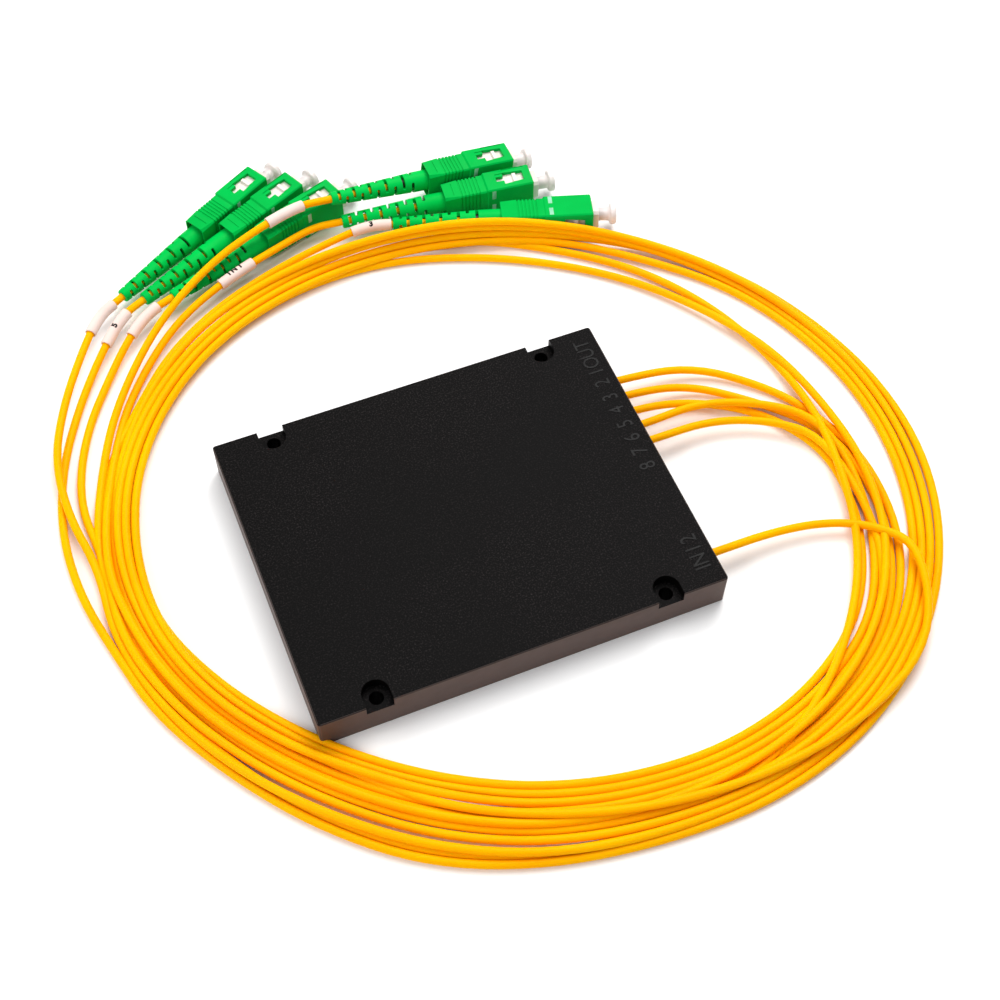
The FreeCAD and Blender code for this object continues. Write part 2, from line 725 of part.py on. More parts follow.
def cord_edges(name, radii=None):
    """The two uncoiled stretches of a cord: out of the box, and from the coil to its connector's boot."""
    outputs, inputs = outlet_places()
    number = int(name.split("_")[1]) - 1
    y = outputs[number] if name.startswith("out") else inputs[number]
    straight = [(x, y, outlet_height) for x in (cord_end_x(), box_length / 2 + straight_out)]
    leaving = straight + exit_routes[name]
    plug = connectors[name]
    arriving = lead_routes[name] + [plug.point(boot_rear - behind_boot), plug.point(boot_rear)]
    return route_edges(leaving, radii), route_edges(arriving, radii)


def cord(name):
    """Both free stretches of a cord, and the straight end that its connector's boot holds."""
    radii = []
    stretches = cord_edges(name, radii)
    tubes = [round_tube(edges, cord_radius) for edges in stretches]
    lengths = [sum(e.Length for e in edges) for edges in stretches]
    print(name, "lengths", [round(v, 1) for v in lengths], "tightest bend", round(min(radii), 1))
    held = connectors[name].place(cylinder(cord_radius, boot_rear, crimp_rear))
    return Part.makeCompound(tubes + [held])


def label_sleeve(name):
    edges = cord_edges(name)[1]
    end = sum(e.Length for e in edges) - label_from_boot[name]
    stretch = stretch_of(edges, end - label_length, end)
    return round_tube(stretch, sleeve_radius).cut(round_tube(stretch, cord_radius + cord_gap))


def build():
    parts = {
        "housing": housing(),
        "base_cover": base_cover(),
        "cord_comb": cord_comb(),
        "splitter_sleeve": splitter_sleeve(),
        "sleeve_end_plugs": sleeve_end_plugs(),
        "adhesive_pads": adhesive_pads(),
        "fanout_block": fanout_block(),
        "output_ribbon": output_ribbon(),
        "input_fibre_tube": input_tube(),
        "output_fibre_tubes": output_tubes(),
        "cord_coil": cord_coil(),
    }
    first, second, third, last = optics_stations()
    parts["input_fibre_block"] = module_bar(chip_side, chip_side, first, second)
    parts["waveguide_chip"] = module_bar(chip_side, chip_side, second, third)
    parts["output_fibre_block"] = module_bar(chip_side, chip_side, third, last)
    pieces = {"grip": grip(), "plug_frame": plug_frame(), "ferrule": ferrule(), "dust_cap": dust_cap(),
              "boot": boot()}
    spring = ferrule_spring()
    crimp = crimp_body()
    for name, plug in connectors.items():
        for piece, shape in pieces.items():
            parts[f"{piece}_{name}"] = plug.place(shape)
        turned_boot = pieces["boot"].copy()
        turned_boot.Placement = plug.boot_turn
        parts[f"boot_{name}"] = plug.place(turned_boot)
        parts[f"cord_{name}"] = cord(name)
        parts[f"label_sleeve_{name}"] = label_sleeve(name)
    parts["ferrule_springs"] = Part.makeCompound([plug.place(spring) for plug in connectors.values()])
    parts["crimp_bodies"] = Part.makeCompound([plug.place(crimp) for plug in connectors.values()])
    return parts


os.makedirs("parts", exist_ok=True)
for node, shape in build().items():
    if not shape.isValid():
        print("not valid:", node)
    shape.exportStep(f"parts/{node}.step")
    print(node, "solids", len(shape.Solids), "volume", round(shape.Volume, 2))
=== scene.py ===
import json
import math

import bmesh
import bpy
import numpy as np
from mathutils import Matrix, Vector
from mathutils.kdtree import KDTree

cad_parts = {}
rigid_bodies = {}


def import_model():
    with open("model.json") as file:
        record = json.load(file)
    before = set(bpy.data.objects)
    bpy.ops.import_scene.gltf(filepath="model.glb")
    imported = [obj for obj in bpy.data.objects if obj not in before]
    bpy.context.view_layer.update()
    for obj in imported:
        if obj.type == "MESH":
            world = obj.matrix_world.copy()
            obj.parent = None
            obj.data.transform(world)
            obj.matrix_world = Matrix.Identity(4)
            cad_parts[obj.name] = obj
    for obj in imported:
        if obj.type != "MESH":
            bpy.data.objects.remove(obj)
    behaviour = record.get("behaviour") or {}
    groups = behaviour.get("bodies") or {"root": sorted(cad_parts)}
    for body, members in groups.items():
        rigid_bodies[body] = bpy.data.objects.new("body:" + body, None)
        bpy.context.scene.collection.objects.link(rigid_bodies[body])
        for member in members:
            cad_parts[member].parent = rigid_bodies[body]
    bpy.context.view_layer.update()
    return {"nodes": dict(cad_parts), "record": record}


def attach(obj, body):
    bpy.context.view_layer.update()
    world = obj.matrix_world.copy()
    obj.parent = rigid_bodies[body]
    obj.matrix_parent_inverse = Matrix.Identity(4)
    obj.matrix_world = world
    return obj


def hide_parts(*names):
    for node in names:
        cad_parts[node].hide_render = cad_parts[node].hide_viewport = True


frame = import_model()
nodes = frame["nodes"]
mm = 0.001
cordNames = ["out_1", "out_2", "out_3", "out_4", "out_5", "in_1"]
print("frame loaded,", len(nodes), "nodes")


# camera, floor and soft light: places in m, angles in degrees, lens and sensor in mm
viewpoint = {
    "target": (0.01149, 0.00551, 0.0),
    "azimuth": -112.714,
    "elevation": 57.237,
    "roll": 0.664,
    "distance": 0.39665,
    "lens": 58.29,
    "sensor": 36.0,
    "nearest": 0.01,
}
studio = {
    "floorSize": 3.0,
    "floorDrop": 0.0001,
    "floorColor": (0.95, 0.95, 0.95, 1.0),
    "worldColor": (0.95, 0.97, 1.0, 1.0),
    "worldStrength": 0.42,
    "lamps": {
        "overheadSoftbox": {"place": (0.20, 0.27, 0.74), "size": 0.6, "power": 5.0, "color": (1, 0.99, 0.97)},
        "sideSoftbox": {"place": (-0.65, -0.10, 0.45), "size": 0.45, "power": 3.0, "color": (1, 1, 1)},
        "rimSoftbox": {"place": (0.42, 0.46, 0.68), "size": 0.35, "power": 2.8, "color": (1, 1, 1)},
    },
}


def aimCamera():
    azimuth, elevation, roll = (math.radians(viewpoint[k]) for k in ("azimuth", "elevation", "roll"))
    level = math.cos(elevation)
    back = Vector((math.cos(azimuth) * level, math.sin(azimuth) * level, math.sin(elevation)))
    right = (-back).cross(Vector((0, 0, 1))).normalized()
    up = right.cross(-back)
    turnedRight = right * math.cos(roll) + up * math.sin(roll)
    turnedUp = up * math.cos(roll) - right * math.sin(roll)
    data = bpy.data.cameras.new("camera")
    data.lens = viewpoint["lens"]
    data.sensor_width = viewpoint["sensor"]
    data.clip_start = viewpoint["nearest"]
    camera = bpy.data.objects.new("camera", data)
    place = Vector(viewpoint["target"]) + back * viewpoint["distance"]
    camera.matrix_world = Matrix((
        (turnedRight.x, turnedUp.x, back.x, place.x),
        (turnedRight.y, turnedUp.y, back.y, place.y),
        (turnedRight.z, turnedUp.z, back.z, place.z),
        (0, 0, 0, 1),
    ))
    bpy.context.scene.collection.objects.link(camera)
    bpy.context.scene.camera = camera


def layStudio():
    scene = bpy.context.scene
    scene.view_settings.view_transform = "Standard"
    world = bpy.data.worlds.new("studio")
    world.use_nodes = True
    sky = world.node_tree.nodes["Background"]
    sky.inputs["Color"].default_value = studio["worldColor"]
    sky.inputs["Strength"].default_value = studio["worldStrength"]
    scene.world = world
    for name, lamp in studio["lamps"].items():
        data = bpy.data.lights.new(name, "AREA")
        data.energy = lamp["power"]
        data.size = lamp["size"]
        data.color = lamp["color"]
        light = bpy.data.objects.new(name, data)
        light.location = lamp["place"]
        light.rotation_euler = (-Vector(lamp["place"])).to_track_quat("-Z", "Y").to_euler()
        scene.collection.objects.link(light)
    mesh = bpy.data.meshes.new("floor")
    bm = bmesh.new()
    bmesh.ops.create_grid(bm, x_segments=1, y_segments=1, size=studio["floorSize"] / 2,
                          matrix=Matrix.Translation((0, 0, -studio["floorDrop"])))
    bm.to_mesh(mesh)
    bm.free()
    floor = bpy.data.objects.new("floor", mesh)
    scene.collection.objects.link(floor)
    return floor


aimCamera()
floor = layStudio()
print("camera and studio set")


# shader maths
class Signal:  # one socket; arithmetic on it adds nodes
    def __init__(self, finish, socket):
        self.finish = finish
        self.socket = socket

    def math(self, operation, *values, clamp=False):
        settings = {"operation": operation, "use_clamp": clamp}
        return self.finish.node("ShaderNodeMath", settings, [self, *values])

    def __add__(self, other):
        return self.math("ADD", other)

    def __sub__(self, other):
        return self.math("SUBTRACT", other)

    def __rsub__(self, other):
        return self.finish.node("ShaderNodeMath", {"operation": "SUBTRACT"}, [other, self])

    def __mul__(self, other):
        return self.math("MULTIPLY", other)

    __radd__ = __add__
    __rmul__ = __mul__

    def between(self, low, high):  # 0 below low, 1 above high
        return (self - low).math("DIVIDE", high - low, clamp=True)


socketNames = {
    "color": "Base Color", "roughness": "Roughness", "metallic": "Metallic", "normal": "Normal",
    "ior": "IOR", "specular": "Specular IOR Level", "transmission": "Transmission Weight",
    "subsurface": "Subsurface Weight", "subsurfaceScale": "Subsurface Scale",
    "subsurfaceRadius": "Subsurface Radius",
}


class Finish:
    def __init__(self, name, **shader):
        self.material = bpy.data.materials.new(name)
        self.material.use_nodes = True
        self.tree = self.material.node_tree
        self.shader = self.tree.nodes["Principled BSDF"]
        self.feed(**shader)
        self.place = self.node("ShaderNodeTexCoord", {}, {}, output="Object")

    def node(self, kind, settings, inputs, output=0):
        made = self.tree.nodes.new(kind)
        for key, value in settings.items():
            setattr(made, key, value)
        pairs = inputs.items() if isinstance(inputs, dict) else enumerate(inputs)
        for key, value in pairs:
            if isinstance(value, Signal):
                self.tree.links.new(value.socket, made.inputs[key])
            else:
                made.inputs[key].default_value = value
        return Signal(self, made.outputs[output])

    def noise(self, scale, detail=3.0, roughness=0.5):
        inputs = {"Vector": self.place, "Scale": scale, "Detail": detail, "Roughness": roughness}
        return self.node("ShaderNodeTexNoise", {}, inputs)

    def axis(self, vector, letter):
        return self.node("ShaderNodeSeparateXYZ", {}, [vector], output=letter)

    def mix(self, factor, dark, light):
        return self.node("ShaderNodeMix", {"data_type": "RGBA"}, {0: factor, 6: dark, 7: light}, output=2)

    def bump(self, height, distance, strength):
        return self.node("ShaderNodeBump", {}, {"Height": height, "Distance": distance, "Strength": strength})

    def feed(self, **sockets):
        for key, value in sockets.items():
            socket = self.shader.inputs[socketNames[key]]
            if isinstance(value, Signal):
                self.tree.links.new(value.socket, socket)
            else:
                socket.default_value = value


# the box: fine raised grains on the lid, in patches, whose lighter specks are partly painted glints; outer
# walls painted lighter as painted reflected light from the floor; and a thin painted highlight along the
# lid's edge, m
boxLook = {
    "halfLength": 0.050, "halfWidth": 0.040, "margin": 0.0003, "edgeHighlightFrom": 0.00984, "edgeHighlightOver": 0.00006,
    "grain": (2400.0, 4.0, 0.7), "patches": (26.0, 3.0, 0.55), "wall": (420.0, 2.0),
    "grainEdges": (0.50, 0.67), "patchEdges": (0.40, 0.62), "grainEverywhere": 0.45, "grainInPatches": 0.55,
    # the lid's light colour is that of the grain's specks: partly their own tone, partly painted glints
    "lidDark": (0.0018, 0.0016, 0.0016, 1), "lidSpeckAndGlint": (0.036, 0.031, 0.031, 1),
    # the walls' colours below are painted light reflected from the floor, far lighter than the lid's black
    "floorLitWallDark": (0.100, 0.076, 0.070, 1), "floorLitWallLight": (0.122, 0.094, 0.087, 1),
    # the colour first on the line below is a painted highlight along the lid's top edge
    "paintedEdgeHighlight": (0.19, 0.165, 0.155, 1), "specular": 0.046, "roughness": 0.42, "lidRoughness": 0.08,
    "wallBump": 0.15, "depth": 0.00012, "strength": 0.7,
}


def boxFinish():
    look = boxLook
    made = Finish("sparkErodedBlack", specular=look["specular"])
    facing = made.node("ShaderNodeNewGeometry", {}, {}, output="Normal")
    upwards = made.axis(facing, "Z").between(0.5, 0.8)
    x, y, z = (made.axis(made.place, letter) for letter in "XYZ")
    beyondSide = x.math("ABSOLUTE") - (look["halfLength"] - look["margin"])
    beyondEnd = y.math("ABSOLUTE") - (look["halfWidth"] - look["margin"])
    outside = beyondSide.math("MAXIMUM", beyondEnd).between(0.0, look["margin"] / 2)
    # a thin band just under the lid's top on the outer walls, where the painted edge highlight goes
    edgeHighlightMask = z.between(look["edgeHighlightFrom"], look["edgeHighlightFrom"] + look["edgeHighlightOver"]) * outside
    patches = made.noise(*look["patches"]).between(*look["patchEdges"])
    grain = made.noise(*look["grain"]).between(*look["grainEdges"])
    grain = grain * (look["grainEverywhere"] + look["grainInPatches"] * patches)
    wall = made.noise(*look["wall"])
    # grain specks on upward faces coloured lighter: real grain with painted glints
    lidGrainAndGlints = made.mix(grain * upwards, look["lidDark"], look["lidSpeckAndGlint"])
    # painted reflected light: outer side faces get the lighter wall colours
    paintedWallLight = made.mix(wall, look["floorLitWallDark"], look["floorLitWallLight"])
    relief = upwards * grain + (1 - upwards) * wall * look["wallBump"]
    made.feed(
        # painted edge highlight over the painted lighter outer walls over the lid
        color=made.mix(edgeHighlightMask, made.mix((1 - upwards) * outside, lidGrainAndGlints, paintedWallLight), look["paintedEdgeHighlight"]),
        roughness=look["roughness"] + look["lidRoughness"] * upwards,
        normal=made.bump(relief, look["depth"], look["strength"]),
    )
    return made.material


# the raised lettering: smoother and darker than the lid round it
letteringLook = {
    "dark": (0.0035, 0.0032, 0.0032, 1), "light": (0.0075, 0.007, 0.007, 1), "grain": 900.0,
    "specular": 0.08, "roughness": 0.34, "grainRoughness": 0.1,
}


def letteringFinish():
    look = letteringLook
    made = Finish("letteringBlack", specular=look["specular"])
    grain = made.noise(look["grain"])
    made.feed(
        color=made.mix(grain, look["dark"], look["light"]),
        roughness=look["roughness"] + look["grainRoughness"] * grain,
    )
    return made.material


# the cords' jackets: soft plastic that light enters, slow changes of tone and a faint skin
jacketLook = {
    "dark": (1.0, 0.41, 0.0, 1), "light": (1.0, 0.475, 0.0, 1),
    "tone": (38.0, 2.0), "skin": (1500.0, 3.0, 0.6),
    "specular": 0.025, "roughness": 0.34, "skinRoughness": 0.08, "depth": 0.00002, "strength": 0.12,
    "inner": 0.3, "innerScale": 0.0014, "innerRadius": (1.0, 0.3, 0.03),
}


def jacketFinish():
    look = jacketLook
    made = Finish("cordJacket", specular=look["specular"], subsurface=look["inner"],
                  subsurfaceScale=look["innerScale"], subsurfaceRadius=look["innerRadius"])
    tone = made.noise(*look["tone"]).between(0.3, 0.7)
    skin = made.noise(*look["skin"])
    made.feed(
        color=made.mix(tone, look["dark"], look["light"]),
        roughness=look["roughness"] + look["skinRoughness"] * skin,
        normal=made.bump(skin, look["depth"], look["strength"]),
    )
    return made.material


# moulded green plastic: flow marks and a fine skin
greenLook = {
    "flow": (120.0, 2.0), "skin": (1700.0, 3.0, 0.6), "specular": 0.03, "skinRoughness": 0.12,
    "depth": 0.00003, "strength": 0.5,
}


def greenFinish(name, dark, light, roughness):
    look = greenLook
    made = Finish(name, specular=look["specular"])
    flow = made.noise(*look["flow"]).between(0.3, 0.7)
    skin = made.noise(*look["skin"])
    made.feed(
        color=made.mix(flow, dark, light),
        roughness=roughness + look["skinRoughness"] * skin,
        normal=made.bump(skin, look["depth"], look["strength"]),
    )
    return made.material


# the small pale, grey and steel pieces: a tone that varies a little, uneven gloss and a fine skin
plainLook = {
    "tone": (160.0, 2.0), "gloss": 1100.0, "skin": 1400.0, "glossRoughness": 0.1,
    "depth": 0.00002, "strength": 0.3,
}


def plainFinish(name, dark, light, roughness, **more):
    look = plainLook
    made = Finish(name, **more)
    made.feed(
        color=made.mix(made.noise(*look["tone"]).between(0.3, 0.7), dark, light),
        roughness=roughness + look["glossRoughness"] * made.noise(look["gloss"]),
        normal=made.bump(made.noise(look["skin"]), look["depth"], look["strength"]),
    )
    return made.material


def floorFinish():
    made = Finish("floorPaper", roughness=0.9, specular=0.1)
    shade = (0.97 * c for c in studio["floorColor"][:3])
    made.feed(color=made.mix(made.noise(3.0), (*shade, 1), studio["floorColor"]))
    return made.material


finishes = {
    "box_black": boxFinish(),
    "comb_black": plainFinish("combBlack", (0.02, 0.02, 0.02, 1), (0.03, 0.03, 0.03, 1), 0.5),
    "label_white": plainFinish("labelWhite", (0.76, 0.61, 0.55, 1), (0.81, 0.66, 0.60, 1), 0.5, specular=0.1),
    "cord_yellow": jacketFinish(),
    "connector_green": greenFinish("gripGreen", (0.0, 0.39, 0.054, 1), (0.0, 0.445, 0.064, 1), 0.30),
    "boot_green": greenFinish("bootGreen", (0.0, 0.45, 0.060, 1), (0.0, 0.515, 0.072, 1), 0.33),
    "frame_white": plainFinish("frameCream", (0.76, 0.69, 0.64, 1), (0.82, 0.75, 0.70, 1), 0.34,
                               specular=0.2),
    "cap_clear": plainFinish("capClear", (0.87, 0.79, 0.77, 1), (0.93, 0.85, 0.83, 1), 0.26,
                             transmission=0.25, ior=1.45, subsurface=0.4, subsurfaceScale=0.002,
                             subsurfaceRadius=(1.0, 0.9, 0.9)),
    "ferrule_white": plainFinish("ferruleCeramic", (0.90, 0.89, 0.86, 1), (0.95, 0.94, 0.91, 1), 0.12),
    "steel": plainFinish("crimpSteel", (0.025, 0.025, 0.025, 1), (0.045, 0.045, 0.045, 1), 0.42,
                         metallic=1.0),
    "silica": plainFinish("chipSilica", (0.80, 0.84, 0.84, 1), (0.88, 0.91, 0.91, 1), 0.08,
                          transmission=0.5),
    "pad_grey": plainFinish("padGrey", (0.50, 0.50, 0.48, 1), (0.62, 0.62, 0.60, 1), 0.6),
    "fibre_white": plainFinish("fibreTube", (0.80, 0.80, 0.78, 1), (0.88, 0.88, 0.86, 1), 0.4),
    "block_grey": plainFinish("blockGrey", (0.16, 0.16, 0.16, 1), (0.22, 0.22, 0.22, 1), 0.5),
    "lettering": letteringFinish(),
    "print": plainFinish("labelPrint", (0.012, 0.010, 0.010, 1), (0.02, 0.018, 0.018, 1), 0.5,
                         specular=0.1),
    "barPale": plainFinish("barPale", (0.22, 0.55, 0.34, 1), (0.32, 0.64, 0.45, 1), 0.4, specular=0.1),
}
floor.data.materials.append(floorFinish())
slotOf = {row["node"]: row["material_slot"] for row in frame["record"]["subparts"]}
for node, obj in nodes.items():
    obj.data.materials.clear()
    obj.data.materials.append(finishes[slotOf[node]])
print("finishes made")


# where the connectors lie: middle of the grip's back end, mm, heading, nose-down tilt and roll in degrees
plugs = {
    "out_1": {"place": (-33.7, 112.0, 4.5), "heading": 29.2, "tilt": 0.0, "roll": 0.0},
    "out_2": {"place": (-17.7, 103.2, 4.5), "heading": 19.2, "tilt": 0.0, "roll": 0.0},
    "out_3": {"place": (44.8, 86.8, 4.709), "heading": -18.0, "tilt": 0.0, "roll": -100.0},
    "out_4": {"place": (29.9, 105.6, 7.405), "heading": 0.4, "tilt": 6.8, "roll": 0.0},
    "out_5": {"place": (-26.0, 107.8, 4.5), "heading": 24.7, "tilt": 0.0, "roll": 0.0},
    "in_1": {"place": (32.6, 98.7, 4.5), "heading": -6.8, "tilt": 0.0, "roll": 0.0},
}
bootRear = -28.3  # the boot's rear end, mm behind the grip's back end
straightAt = (-36.3, bootRear, -17.0, -7.5)  # where a cord runs straight into its connector, mm
# how wide a connector is where cords lean on it: (distance along its axis, radius), mm
leaningWidths = [(bootRear, 1.8), (-20.0, 2.1), (-12.0, 2.5), (-4.0, 2.75), (4.0, 4.2), (12.0, 4.3),
                 (20.0, 4.3), (24.0, 4.3)]


def plugMatrix(name):
    plug = plugs[name]
    return (Matrix.Translation(Vector(plug["place"]) * mm)
            @ Matrix.Rotation(math.radians(plug["heading"]), 4, "Z")
            @ Matrix.Rotation(math.radians(plug["tilt"]), 4, "Y")
            @ Matrix.Rotation(math.radians(plug["roll"]), 4, "X"))


def onAxis(name, distance):  # a place on a connector's axis, mm
    return tuple(plugMatrix(name) @ Vector((distance * mm, 0, 0)) / mm)


# the cords, mm: "exit" and "lead" are points outside the coil, and "ring" is the distance from the coil's
# middle at every ringStep degrees from "from" on; a cord lies over those of a lower rank
coil = {
    "middle": (12.0, 3.0), "stretch": 1.10, "swell": 1.0085, "ringStep": 15,
    "lean": (0.376, 0.662),  # how far a raised point moves aside for each mm of its height
}
jacket = {"radius": 1.0, "roundness": 6, "perSpan": 6, "readPerSpan": 24}  # mm, then numbers of steps
cords = {
    "out_1": {
        "exit": [(42.1, 25, 5), (53, 25, 5), (72.5, 23.6, 2.2), (88, 10.8, 1.0), (95.4, -1.4, 1.0)],
        "from": 15,
        "ring": [82.5, 88.6, 91.6, 90.4, 87.6, 84.0, 81.2, 78.8, 77.2, 77.6, 80.2, 83.2, 86.6, 89.6,
                 92.0, 93.5, 92.9, 91.6, 90.8, 89.3, 88.1, 88.0, 88.7, 91.0, 93.4, 95.4, 96.2, 95.5,
                 93.0, 89.5, 87.2, 85.0, 83.2, 83.2, 85.0, 87.0],
        "lead": [(-84.4, 22, 1.4), (-87.4, 38, 2.6), (-86.6, 55, 3.4), (-80.4, 70.6, 3.6),
                 (-72.6, 84, 4.0)],
        "rank": 5,
        "length": 1.0,
    },
    "out_2": {
        "exit": [(42.1, 20, 5), (53, 20, 5), (68.4, 18.8, 2.0), (81.2, 9.6, 1.0), (93, -2.6, 1.0)],
        "from": 15,
        "ring": [80.0, 86.4, 89.9, 88.4, 85.6, 82.0, 79.0, 76.4, 74.8, 75.6, 78.2, 81.2, 84.6, 87.6,
                 90.0, 91.5, 91.4, 90.5, 89.2, 87.8, 87.4, 86.6, 87.2, 89.0, 91.2, 93.6, 94.9, 93.4,
                 91.0, 87.4, 85.2, 83.0, 81.2, 81.4, 83.6, 86.4],
        "lead": [(-82.6, 24, 1.0), (-84.4, 42, 1.0), (-77.8, 61.4, 1.0), (-66.6, 77.6, 1.6),
                 (-58.6, 86.4, 3.6)],
        "rank": 4,
        "length": 1.0,
    },
    "out_3": {
        "exit": [(42.1, 15, 5), (53, 15, 5), (66.6, 14.2, 1.6), (80.4, 6.6, 1.0), (89.6, -5.6, 1.0),
                 (92.6, -18, 1.0)],
        "from": 30,
        "ring": [80.0, 83.2, 82.4, 79.8, 76.0, 72.8, 70.6, 70.4, 71.8, 75.0, 79.8, 83.0, 86.0, 88.0,
                 89.0, 89.0, 88.3, 85.0, 81.0, 78.8, 76.5, 75.3, 75.3, 76.0, 78.6, 81.7, 85.2, 87.9,
                 88.7, 88.8, 87.8, 85.4, 84.4, 84.4, 85.4, 88.0, 91.2],
        "lead": [(-61.2, 67.2, 1.0), (-51.2, 78.4, 1.0), (-35.2, 88.8, 1.0), (-17.6, 95.2, 1.2),
                 (-2.2, 97.4, 3.0)],
        "rank": 0,
        "length": 1.0,
    },
    "out_4": {
        "exit": [(42.1, 10, 5), (53, 10, 5), (68, 11.4, 4.0), (82, 6.6, 3.3), (93.4, -2.4, 3.3)],
        "from": 15,
        "ring": [79.0, 83.0, 86.4, 84.6, 81.8, 78.0, 74.8, 72.2, 71.0, 72.2, 75.0, 79.0, 81.4, 84.0,
                 86.2, 87.5, 86.6, 85.5, 84.5, 83.7, 82.6, 84.3, 85.5, 87.3, 89.4, 91.8, 93.3, 91.4,
                 88.8, 85.4, 82.8, 80.5, 79.0, 79.6, 82.0, 85.0, 89.4],
        "lead": [(-74.6, 54, 2.2), (-65, 70, 3.8), (-50.6, 86.4, 5.8), (-33.6, 97, 9.0),
                 (-18.6, 102, 11.2)],
        "rank": 2,
        "length": 1.0,
    },
    "out_5": {
        "exit": [(42.1, 5, 5), (53, 5, 5), (68.4, 5.6, 3.7), (82.6, 0.4, 3.2), (93.2, -9.6, 3.2)],
        "from": 30,
        "ring": [84.2, 88.0, 86.4, 83.6, 79.8, 76.8, 74.2, 72.6, 73.8, 76.4, 79.4, 82.8, 85.8, 88.0,
                 89.5, 89.0, 88.0, 87.0, 86.0, 86.2, 88.5, 90.0, 92.9, 95.8, 97.4, 97.6, 97.2, 94.6,
                 91.0, 89.6, 88.4, 85.8, 85.2, 87.4],
        "lead": [(-86.6, -1, 1.0), (-90.4, 17, 1.0), (-90.2, 36, 1.0), (-85.2, 54.4, 1.0),
                 (-76.4, 71.4, 1.2), (-66.6, 84.6, 3.2)],
        "rank": 3,
        "length": 1.0,
    },
    "in_1": {
        "exit": [(42.1, -30, 5), (53, -30, 5), (68, -29.6, 3.8), (81, -31.4, 3.1), (91.4, -36.4, 3.0),
                 (98.4, -46.5, 5.0)],
        "from": 45,
        "ring": [99.0, 94.5, 88.2, 82.5, 78.4, 75.8, 74.0, 75.0, 77.6, 80.6, 84.0, 86.6, 87.4, 87.4,
                 86.4, 83.5, 79.0, 76.0, 74.8, 74.7, 76.0, 77.6, 81.5, 85.0, 87.0, 86.6, 85.0, 83.2,
                 81.0, 78.5, 77.0, 78.0, 80.5, 83.6, 88.2],
        "lead": [(-70.6, 58, 1.0), (-60.6, 73, 1.4), (-46.4, 86.6, 3.2), (-29.6, 94.5, 4.7),
                 (-12.4, 99.8, 5.2)],
        "rank": 1,
        "length": 1.0,
    },
}
# where three cords lie piled over a connector: angle in the coil and the height there, mm
piled = {
    "out_1": {255: 5.2, 270: 8.2, 285: 8.9, 300: 6.7, 315: 3.7},
    "out_2": {270: 6.0, 285: 6.3, 300: 4.9},
    "out_5": {270: 3.9, 285: 4.1, 300: 3.3},
}
layering = {
    "secondTurn": 10,  # what a cord's second turn adds to its rank
    "crossing": "in_1", "crossingUntil": 110, "crossingRank": 30,  # it crosses over all the others
    "heightPerRank": 0.55, "heightPerCord": 0.1,  # heights that the cords sink from, mm
}
settling = {
    "rounds": 260, "fall": 0.05, "pull": 0.12, "stiffness": 0.08, "spread": 1.6,
    "searchEvery": 20, "searchReach": 7.0, "ownGap": 30.0,
    "swapBelow": 0.5, "swapWithin": 0.8,  # a cord found under one that it should cross is lifted over it
    "connectorReach": 9, "connectorPush": 0.7,
}


def ringPoint(angle, distance):
    turn = math.radians(angle)
    reach = distance * coil["swell"]
    return (coil["middle"][0] + coil["stretch"] * reach * math.cos(turn),
            coil["middle"][1] - reach * math.sin(turn))


def splineWeights(count, perSpan):  # how much each point weighs at each sample of a clamped spline
    knots = np.concatenate([[0.0] * 3, np.arange(1, count - 2), [count - 2.0] * 3])
    at = np.linspace(0.0, count - 2.0, (count - 2) * perSpan + 1)
    at[-1] -= 1e-9
    basis = np.array([(knots[i] <= at) & (at < knots[i + 1]) for i in range(len(knots) - 1)], float)
    for order in (1, 2):
        raised = []
        for i in range(len(knots) - 1 - order):
            lower = knots[i + order] - knots[i]
            upper = knots[i + order + 1] - knots[i + 1]
            term = np.zeros(len(at))
            if lower > 0:
                term += (at - knots[i]) / lower * basis[i]
            if upper > 0:
                term += (knots[i + order + 1] - at) / upper * basis[i + 1]
            raised.append(term)
        basis = np.array(raised)
    return basis.T


def ringRank(name, angle):
    if name == layering["crossing"] and angle < layering["crossingUntil"]:
        return layering["crossingRank"]
    return layering["secondTurn"] * (angle >= 360) + cords[name]["rank"]


def layCord(name, number):
    cord = cords[name]
    boot = [onAxis(name, x) for x in straightAt]
    angles = [cord["from"] + coil["ringStep"] * i for i in range(len(cord["ring"]))]
    flat = [np.array(ringPoint(a, r)) for a, r in zip(angles, cord["ring"])]
    before, after = len(cord["exit"]), len(cord["lead"]) + len(boot)
    rank = [ringRank(name, a) for a in angles]
    rank = np.array([rank[0]] * before + rank + [rank[-1]] * after, float)
    ring = [(x, y, jacket["radius"]) for x, y in flat]
    points = np.array([*cord["exit"], *ring, *cord["lead"], *boot], float)
    free = np.zeros(len(points), bool)
    free[before:before + len(flat)] = True
    for index, angle in enumerate(angles):
        if angle in piled.get(name, {}):
            height = piled[name][angle]
            aside = np.array(coil["lean"]) * (height - jacket["radius"])
            points[before + index] = [*(flat[index] - aside), height]
            free[before + index] = False
    points[free, 2] += layering["heightPerRank"] * rank[free] + layering["heightPerCord"] * number
    return {"points": points, "aim": points.copy(), "free": free, "rank": rank,
            "weights": splineWeights(len(points), jacket["perSpan"])}


def sink(cord):  # free points fall a little, bend less and go back to their places in the coil
    points, aim, free = cord["points"], cord["aim"], cord["free"]
    inner = points.copy()
    inner[1:-1] += settling["stiffness"] * (points[:-2] + points[2:] - 2 * points[1:-1])
    points[free, 2] = inner[free, 2] - settling["fall"]
    wanted = aim[free, :2] - np.array(coil["lean"]) * (points[free, 2:3] - jacket["radius"])
    points[free, :2] += settling["pull"] * (wanted - points[free, :2])


